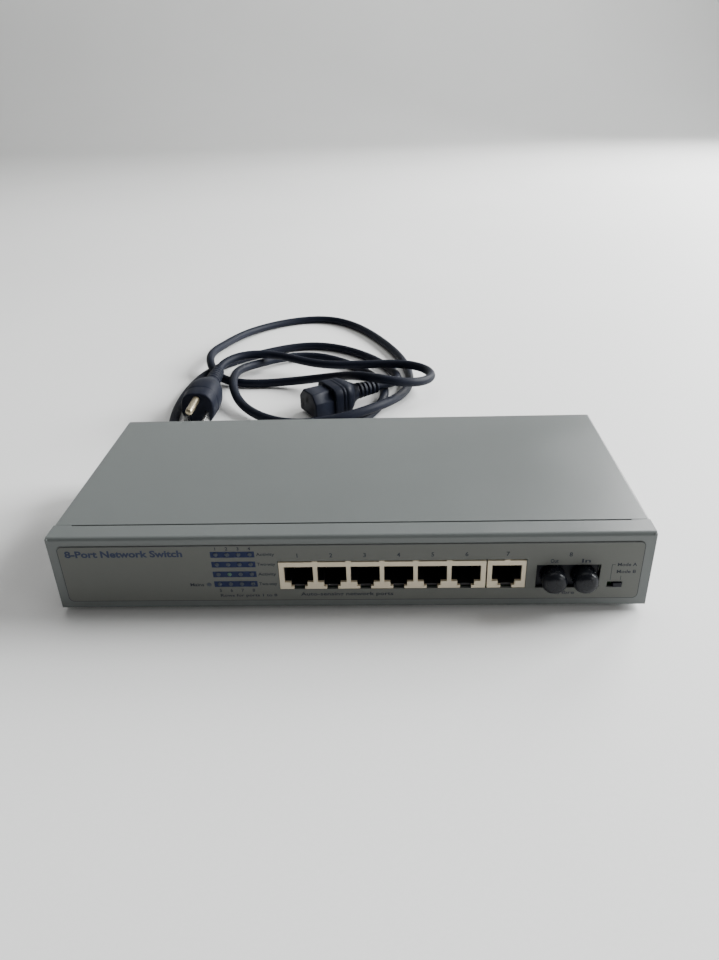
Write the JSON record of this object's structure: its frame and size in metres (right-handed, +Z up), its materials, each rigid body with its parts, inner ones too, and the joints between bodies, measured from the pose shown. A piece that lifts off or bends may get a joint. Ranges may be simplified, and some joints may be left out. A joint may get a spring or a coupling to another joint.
{
  "type": "desktop network switch",
  "caption": "Low steel-cased desktop network switch with modular sockets, a capped fibre uplink and indicator lights on its front, and a detached mains cord behind it.",
  "frame": {"origin": "on the table, under the middle of the box around the switch without its loose cord set", "axes": "+X to the right along the front panel, +Y from the front panel to the rear panel, +Z up"},
  "size_m": [0.2565, 0.4303, 0.0381],
  "materials": {
    "case_paint": "cool grey powder coat, fine satin texture",
    "cover_paint": "cool grey powder coat, fine satin texture",
    "label_film": "warm grey printed film",
    "circuit_board": "green solder mask",
    "jack_plastic": "cream moulded plastic",
    "contact_gold": "gold flash",
    "black_plastic": "black moulded plastic",
    "nickel_plate": "nickel plate",
    "screw_steel": "zinc plated steel",
    "cap_rubber": "soft dark grey rubber",
    "light_lens": "frosted clear plastic",
    "heatsink": "mill finish",
    "chip_epoxy": "moulded epoxy",
    "transformer_tape": "yellow polyester tape",
    "capacitor_sleeve": "dark blue shrink sleeve",
    "fuse_glass": "clear tube",
    "harness_cable": "white wire and plugs",
    "foot_rubber": "black rubber",
    "cord_jacket": "black soft vinyl",
    "ground_brass": "bare brass"
  },
  "bodies": {
    "switch": {"base_chassis": "case_paint", "top_cover": "cover_paint", "front_label": "label_film", "foot_front_left": "foot_rubber", "foot_back_left": "foot_rubber", "foot_front_right": "foot_rubber", "foot_back_right": "foot_rubber", "cover_screw_front_left": "screw_steel", "cover_screw_back_left": "screw_steel", "cover_screw_front_right": "screw_steel", "cover_screw_back_right": "screw_steel", "main_board": "circuit_board", "board_screw_front_left": "screw_steel", "board_screw_front_right": "screw_steel", "board_screw_back_left": "screw_steel", "board_screw_back_right": "screw_steel", "switch_chip": "chip_epoxy", "chip_heatsink": "heatsink", "magnetics_left": "chip_epoxy", "magnetics_right": "chip_epoxy", "jack_bank": "jack_plastic", "jack_single": "jack_plastic", "contact_comb_1": "contact_gold", "contact_comb_2": "contact_gold", "contact_comb_3": "contact_gold", "contact_comb_4": "contact_gold", "contact_comb_5": "contact_gold", "contact_comb_6": "contact_gold", "contact_comb_7": "contact_gold", "fibre_transceiver": "black_plastic", "fibre_barrel_transmit": "nickel_plate", "fibre_barrel_receive": "nickel_plate", "mode_switch_body": "nickel_plate", "light_pipe_row_1": "light_lens", "light_pipe_row_2": "light_lens", "light_pipe_row_3": "light_lens", "light_pipe_row_4": "light_lens", "light_pipe_power": "light_lens", "light_board": "circuit_board", "supply_board": "circuit_board", "supply_transformer": "transformer_tape", "supply_capacitor": "capacitor_sleeve", "supply_heatsink": "heatsink", "supply_fuse": "fuse_glass", "supply_harness": "harness_cable", "power_inlet": "black_plastic", "inlet_pin_line": "nickel_plate", "inlet_pin_neutral": "nickel_plate", "inlet_pin_earth": "nickel_plate", "inlet_screw_left": "screw_steel", "inlet_screw_right": "screw_steel", "power_cord": "cord_jacket", "wall_plug": "cord_jacket", "plug_blade_left": "nickel_plate", "plug_blade_right": "nickel_plate", "plug_ground_pin": "ground_brass", "cord_connector": "cord_jacket"},
    "mode_slider": {"mode_switch_slider": "black_plastic"},
    "cap_transmit": {"dust_cap_transmit": "cap_rubber"},
    "cap_receive": {"dust_cap_receive": "cap_rubber"}
  },
  "joints": [
    {"name": "mode_switch_slide", "type": "slide", "parent": "switch", "child": "mode_slider", "axis": [1, 0, 0], "range_m": [-0.0021, 0]},
    {"name": "dust_cap_transmit_pull", "type": "slide", "parent": "switch", "child": "cap_transmit", "axis": [0, -1, 0], "range_m": [0, 0.02]},
    {"name": "dust_cap_receive_pull", "type": "slide", "parent": "switch", "child": "cap_receive", "axis": [0, -1, 0], "range_m": [0, 0.02]}
  ]
}
